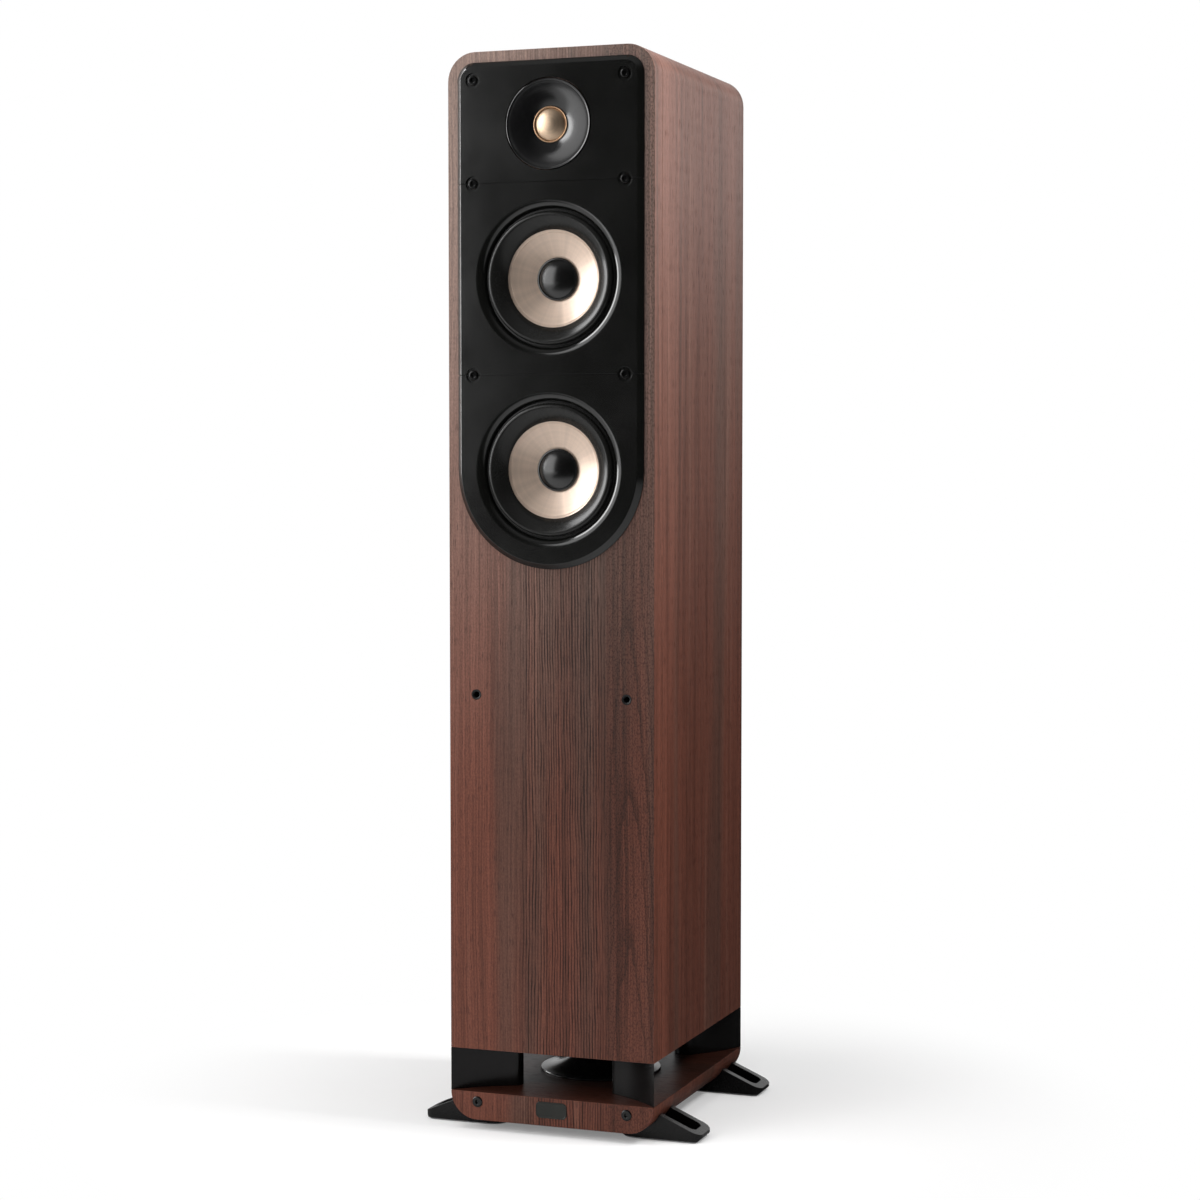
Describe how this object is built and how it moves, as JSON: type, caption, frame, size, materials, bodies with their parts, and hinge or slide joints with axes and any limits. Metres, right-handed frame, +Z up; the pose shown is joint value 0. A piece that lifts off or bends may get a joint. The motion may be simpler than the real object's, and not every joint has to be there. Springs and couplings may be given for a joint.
{
  "type": "floorstanding speaker",
  "caption": "Slim floorstanding two-way speaker: wood-grain cabinet, rounded front trim, twin cones and a dome, raised on a base plate with outrigger feet.",
  "frame": {"origin": "on the floor under the middle of the overall size, where the four foot pads rest", "axes": "+X to the right seen from the front, the drivers face -Y, +Z up"},
  "size_m": [0.26, 0.2588, 0.942],
  "materials": {
    "wood_finish": "red-brown walnut grain, satin",
    "rear_board": "black laminate, satin",
    "inner_board": "bare board",
    "trim": "satin black",
    "screw_black": "black, satin",
    "socket_plastic": "black",
    "waveguide": "dark grey, semi-gloss",
    "gold": "pale gold, satin",
    "magnet_iron": "plain",
    "ferrite": "dark grey, dull",
    "basket_metal": "black powder coat",
    "surround_rubber": "black, low sheen",
    "cone_skin": "champagne, satin",
    "dust_cap": "black, semi-gloss",
    "coil_former": "plain",
    "spider_cloth": "woven, resin treated",
    "port_plastic": "black, fine texture",
    "cone_gloss": "black, high gloss",
    "badge_metal": "dark grey, satin, blank",
    "satin_black": "black, satin",
    "pad_rubber": "grey, matt",
    "terminal_plastic": "black",
    "plated_brass": "gold plated",
    "cap_red": "clear red",
    "cap_black": "black",
    "board": "circuit board green",
    "component": "copper wire and film",
    "wadding": "white polyester fleece",
    "wire": "sheathed copper"
  },
  "bodies": {
    "cabinet": {"base_badge": "badge_metal", "base_bolts": "screw_black", "base_plate": "wood_finish", "base_screws": "screw_black", "bottom_panel": "rear_board", "brace": "inner_board", "crossover_board": "board", "crossover_parts": "component", "foot_front_left": "satin_black", "foot_front_right": "satin_black", "foot_pads": "pad_rubber", "foot_rear_left": "satin_black", "foot_rear_right": "satin_black", "front_baffle": "wood_finish", "grille_sockets": "socket_plastic", "port_cone": "cone_gloss", "port_tube": "port_plastic", "post_front_left": "satin_black", "post_front_right": "satin_black", "post_rear_left": "satin_black", "post_rear_right": "satin_black", "rear_panel": "rear_board", "side_panel_left": "wood_finish", "side_panel_right": "wood_finish", "terminal_cup": "terminal_plastic", "terminal_studs": "plated_brass", "top_panel": "wood_finish", "trim_bottom": "trim", "trim_middle": "trim", "trim_screws": "screw_black", "trim_top": "trim", "tweeter_chamber": "socket_plastic", "tweeter_motor": "magnet_iron", "tweeter_ring": "gold", "tweeter_waveguide": "waveguide", "wadding": "wadding", "wiring": "wire", "woofer_lower_basket": "basket_metal", "woofer_lower_magnet": "ferrite", "woofer_lower_spider": "spider_cloth", "woofer_lower_surround": "surround_rubber", "woofer_lower_yoke": "magnet_iron", "woofer_screws": "screw_black", "woofer_upper_basket": "basket_metal", "woofer_upper_magnet": "ferrite", "woofer_upper_spider": "spider_cloth", "woofer_upper_surround": "surround_rubber", "woofer_upper_yoke": "magnet_iron"},
    "woofer_upper": {"woofer_upper_cone": "cone_skin", "woofer_upper_dust_cap": "dust_cap", "woofer_upper_voice_coil": "coil_former"},
    "woofer_lower": {"woofer_lower_cone": "cone_skin", "woofer_lower_dust_cap": "dust_cap", "woofer_lower_voice_coil": "coil_former"},
    "tweeter_diaphragm": {"tweeter_dome": "gold"},
    "clamp_red": {"clamp_ring_red": "plated_brass"},
    "cap_red": {"terminal_cap_red": "cap_red"},
    "clamp_black": {"clamp_ring_black": "plated_brass"},
    "cap_black": {"terminal_cap_black": "cap_black"}
  },
  "joints": [
    {"name": "woofer_upper_travel", "type": "slide", "parent": "cabinet", "child": "woofer_upper", "axis": [0, 1, 0], "range_m": [-0.004, 0.004], "stiffness_N_per_m": 800, "deforming": ["woofer_upper_surround", "woofer_upper_spider"]},
    {"name": "woofer_lower_travel", "type": "slide", "parent": "cabinet", "child": "woofer_lower", "axis": [0, 1, 0], "range_m": [-0.004, 0.004], "stiffness_N_per_m": 800, "deforming": ["woofer_lower_surround", "woofer_lower_spider"]},
    {"name": "tweeter_travel", "type": "slide", "parent": "cabinet", "child": "tweeter_diaphragm", "axis": [0, 1, 0], "range_m": [-0.0005, 0.0005], "stiffness_N_per_m": 400},
    {"name": "terminal_red_lift", "type": "slide", "parent": "cabinet", "child": "clamp_red", "axis": [0, 1, 0], "range_m": [0, 0.004]},
    {"name": "terminal_red_turn", "type": "hinge", "parent": "clamp_red", "child": "cap_red", "pos_m": [-0.019, 0.118, 0.202], "axis": [0, 1, 0], "range_deg": [0, 1440]},
    {"name": "terminal_black_lift", "type": "slide", "parent": "cabinet", "child": "clamp_black", "axis": [0, 1, 0], "range_m": [0, 0.004]},
    {"name": "terminal_black_turn", "type": "hinge", "parent": "clamp_black", "child": "cap_black", "pos_m": [0.019, 0.118, 0.202], "axis": [0, 1, 0], "range_deg": [0, 1440]}
  ],
  "couplings": [
    {"joint": "terminal_red_lift", "follows": "terminal_red_turn", "m_per_rad": 0.00015915},
    {"joint": "terminal_black_lift", "follows": "terminal_black_turn", "m_per_rad": 0.00015915}
  ]
}
